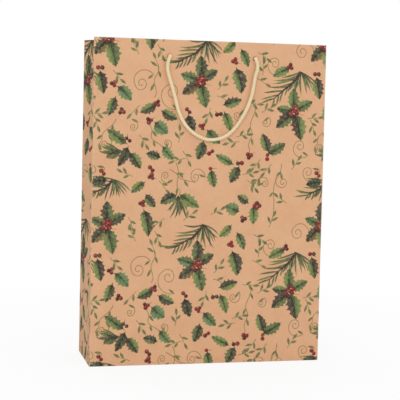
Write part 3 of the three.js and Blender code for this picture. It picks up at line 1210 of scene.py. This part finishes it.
# A three-strand twisted rope along a line of points in millimetres.
def rope(name, line, radius, frayed=False, squeeze=None):
    points, length = evenly(line, cord["step"])
    sides = cord["sides"]
    way = (points[1] - points[0]).normalized()
    side = way.orthogonal().normalized()
    rings = []
    for i, point in enumerate(points):
        way = (points[min(len(points) - 1, i + 1)] - points[max(0, i - 1)]).normalized()
        side = (side - way * side.dot(way)).normalized()
        rings.append((point, way, side, i * length / (len(points) - 1), 1.0))

    def pushed(ring, push, size):
        point, way, side, distance, _ = ring
        return (point + way * radius * push, way, side, distance + push * radius, size)

    first, last = rings[0], rings[-1]
    for push, size in cord["roundEnd"]:
        rings.insert(0, pushed(first, -push, size))
    for push, size in cord["frayedEnd" if frayed else "roundEnd"]:
        rings.append(pushed(last, push, size))
    places, coords = [], []
    for point, way, side, distance, size in rings:
        up = way.cross(side)
        twist = math.tau * distance / cord["pitch"]
        wide = radius * size * (squeeze(distance) if squeeze else 1.0)
        for k in range(sides):
            angle = math.tau * k / sides
            lobe = abs(math.cos(1.5 * (angle - twist))) ** 0.6
            reach = wide * (1 - cord["groove"] + cord["groove"] * lobe)
            places.append(point + side * math.cos(angle) * reach + up * math.sin(angle) * reach)
            coords.append((angle / math.tau, distance))
    faces = []
    for i in range(len(rings) - 1):
        for k in range(sides):
            n = (k + 1) % sides
            faces.append((i * sides + k, i * sides + n, (i + 1) * sides + n, (i + 1) * sides + k))
    places.append(rings[0][0] - rings[0][1] * radius * 0.05)
    places.append(rings[-1][0] + rings[-1][1] * radius * 0.05)
    startTip, endTip, top = len(places) - 2, len(places) - 1, (len(rings) - 1) * sides
    for k in range(sides):
        n = (k + 1) % sides
        faces.append((k, startTip, n))
        faces.append((top + k, top + n, endTip))
    obj, mesh = addMesh(name, [tuple(p * mm) for p in places], faces)
    layer = mesh.uv_layers.new(name="lay")
    for polygon in mesh.polygons:
        seam = any(mesh.loops[l].vertex_index % sides == sides - 1 for l in polygon.loop_indices)
        for l in polygon.loop_indices:
            index = mesh.loops[l].vertex_index
            if index >= len(coords):
                layer.data[l].uv = (0.0, 0.0)
                continue
            around, distance = coords[index]
            if seam and around == 0.0:
                around = 1.0
            layer.data[l].uv = (around - distance / cord["pitch"], distance / 10)
        polygon.use_smooth = True
    mesh.materials.append(cordFinish)
    return obj, points, length


# Through the hole from outside, round an overhand knot, and out to the tail.
def knotLine(turn, side):
    hole = side * bag["holeSpacing"] / 2
    size = cord["knotSize"]
    line = [(0, 0, -cord["standOff"]), (0, 0, -0.8), (0, 0, 1.2), (0.4, -0.3, 2.8)]
    for share in np.linspace(0, 1, 41):
        angle = 0.42 + (math.tau - 0.84) * share
        reach = (2 + math.cos(3 * angle)) * size
        depth = cord["knotDepth"] + 1.75 * math.sin(3 * angle) + (share - 0.5) * 0.9
        line.append((reach * math.cos(2 * angle), reach * math.sin(2 * angle), depth))
    line += [(0.9, 0.2, 9.6), (0.5, 0.0, 11.0)]
    return [wallPoint(turn, hole + a, w, holeHeight + b) for a, b, w in curveThrough(line, 4)]


for turn, endName in ends.items():
    for side in (-1, 1):
        sideName = sides[side]
        name = f"{endName}_{sideName}_knot"
        obj, _, _ = rope(
            name + "_rope", knotLine(turn, side * turn), cord["strand"] / 2, frayed=True,
            squeeze=lambda distance: 1.0 - 0.1 * smooth((distance - 4) / 3),
        )
        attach(obj, f"{endName}_wall")
        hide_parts(name)
    across, drop = bag["holeSpacing"] / 2, cord["drop"]
    route = curveThrough([(a * across, b * drop, 0) for a, b in handleRoute])
    line = [wallPoint(turn, p.x, -cord["standOff"], holeHeight - p.y) for p in route]
    obj, points, length = rope(f"{endName}_handle_rope", line, cord["thick"] / 2)
    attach(obj, f"{endName}_handle")
    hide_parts(f"{endName}_handle_cord")
    path = [p * mm for p in points[::4] + [points[-1]]]
    wallPoint(turn, -across, 0, holeHeight) * mm
    length * mm
    print("stage:", endName, "handle,", round(length, 1), "mm of cord")

# Camera, floor and light.

view = {
    "location": (-0.2964, -1.2101, 0.2712),
    "heading": -13.71,
    "pitch": 85.39,
    "roll": 1.38,
    "lens": 103.8,
}
camera = addObject("camera", bpy.data.cameras.new("camera"))
camera.data.lens = view["lens"]
camera.data.sensor_width = 36
camera.data.clip_end = 50
camera.matrix_world = (
    Matrix.Translation(view["location"])
    @ Matrix.Rotation(math.radians(view["heading"]), 4, "Z")
    @ Matrix.Rotation(math.radians(view["pitch"]), 4, "X")
    @ Matrix.Rotation(math.radians(view["roll"]), 4, "Z")
)
bpy.context.scene.camera = camera

bpy.ops.object.select_all(action="DESELECT")
bpy.ops.mesh.primitive_plane_add(size=8, location=(0, 0, -0.2 * mm))
floor = bpy.context.object
floor.name = "floor"
graph = materialGraph("floor")
graph.set(Base_Color=(0.86, 0.86, 0.87), Roughness=0.9)
glow = graph.node("ShaderNodeEmission", {"Color": (1, 1, 1), "Strength": 1.0})
seen = graph.node("ShaderNodeLightPath", out="Is Camera Ray")
spot = graph.node("ShaderNodeTexCoord", out=3)
away = graph.node("ShaderNodeVectorMath", {0: spot}, out=1, operation="LENGTH")
splitForCamera(graph, seen * away.between(0.1, 0.6, 0.89, 1.0), glow)
floor.data.materials.append(graph.owner)

light = {"ambient": 0.62, "key": 10.7, "fill": 5.0, "top": 4.0}
graph = Graph(bpy.data.worlds.new("studio"))
bpy.context.scene.world = graph.set(Color=(1, 1, 1), Strength=light["ambient"])
white = graph.node("ShaderNodeBackground", {"Color": (1, 1, 1), "Strength": 1.0})
splitForCamera(graph, graph.node("ShaderNodeLightPath", out="Is Camera Ray"), white)


def areaLight(name, place, target, power, size):
    lamp = bpy.data.lights.new(name, "AREA")
    lamp.energy, lamp.size = power, size
    obj = addObject(name, lamp)
    obj.location = place
    obj.rotation_euler = (Vector(target) - Vector(place)).to_track_quat("-Z", "Y").to_euler()


areaLight("key", (-0.9, -1.7, 1.1), (0, 0, 0.17), light["key"], 1.2)
areaLight("fill", (1.2, -1.5, 0.7), (0, 0, 0.17), light["fill"], 1.2)
areaLight("top", (0.0, 0.3, 1.6), (0, 0, 0.1), light["top"], 1.4)
bpy.context.scene.view_settings.view_transform = "Standard"
print("stage: camera and lights")
